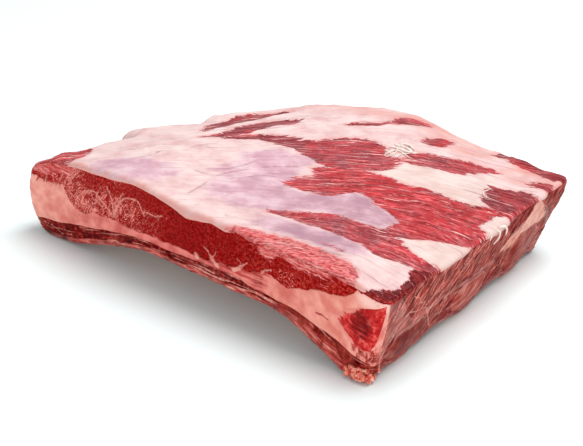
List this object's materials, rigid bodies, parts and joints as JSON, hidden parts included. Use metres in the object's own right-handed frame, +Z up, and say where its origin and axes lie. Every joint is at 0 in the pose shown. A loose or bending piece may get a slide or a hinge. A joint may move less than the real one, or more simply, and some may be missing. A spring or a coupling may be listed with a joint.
{
  "type": "bone-in beef short rib slab",
  "caption": "Raw bone-in beef short rib slab, square cut, with a marbled lean face, fat cap and sawn rib ends.",
  "frame": {"origin": "on the table under the middle of the slab's bounding box", "axes": "+X along the ribs towards the sawn rib ends, +Y across the ribs away from the front cut, +Z up, bones down"},
  "size_m": [0.3288, 0.257, 0.0738],
  "materials": {
    "lean_meat": "raw beef, moist, marbled, under a pink fat cap",
    "seam_fat": "pink beef fat",
    "corner_meat": "bright red raw beef",
    "rib_bone": "sawn rib bone, brownish pink marrow",
    "rib_meat": "dark red raw beef between the ribs",
    "pleura": "thin fat and membrane under the ribs"
  },
  "bodies": {
    "root": {"upper_lean": "lean_meat", "seam_fat": "seam_fat", "corner_muscle": "corner_meat", "rib_1": "rib_bone", "rib_2": "rib_bone", "rib_3": "rib_bone", "between_ribs_1": "rib_meat", "between_ribs_2": "rib_meat", "between_ribs_3": "rib_meat", "between_ribs_4": "rib_meat", "pleura_fat": "pleura"}
  },
  "joints": []
}
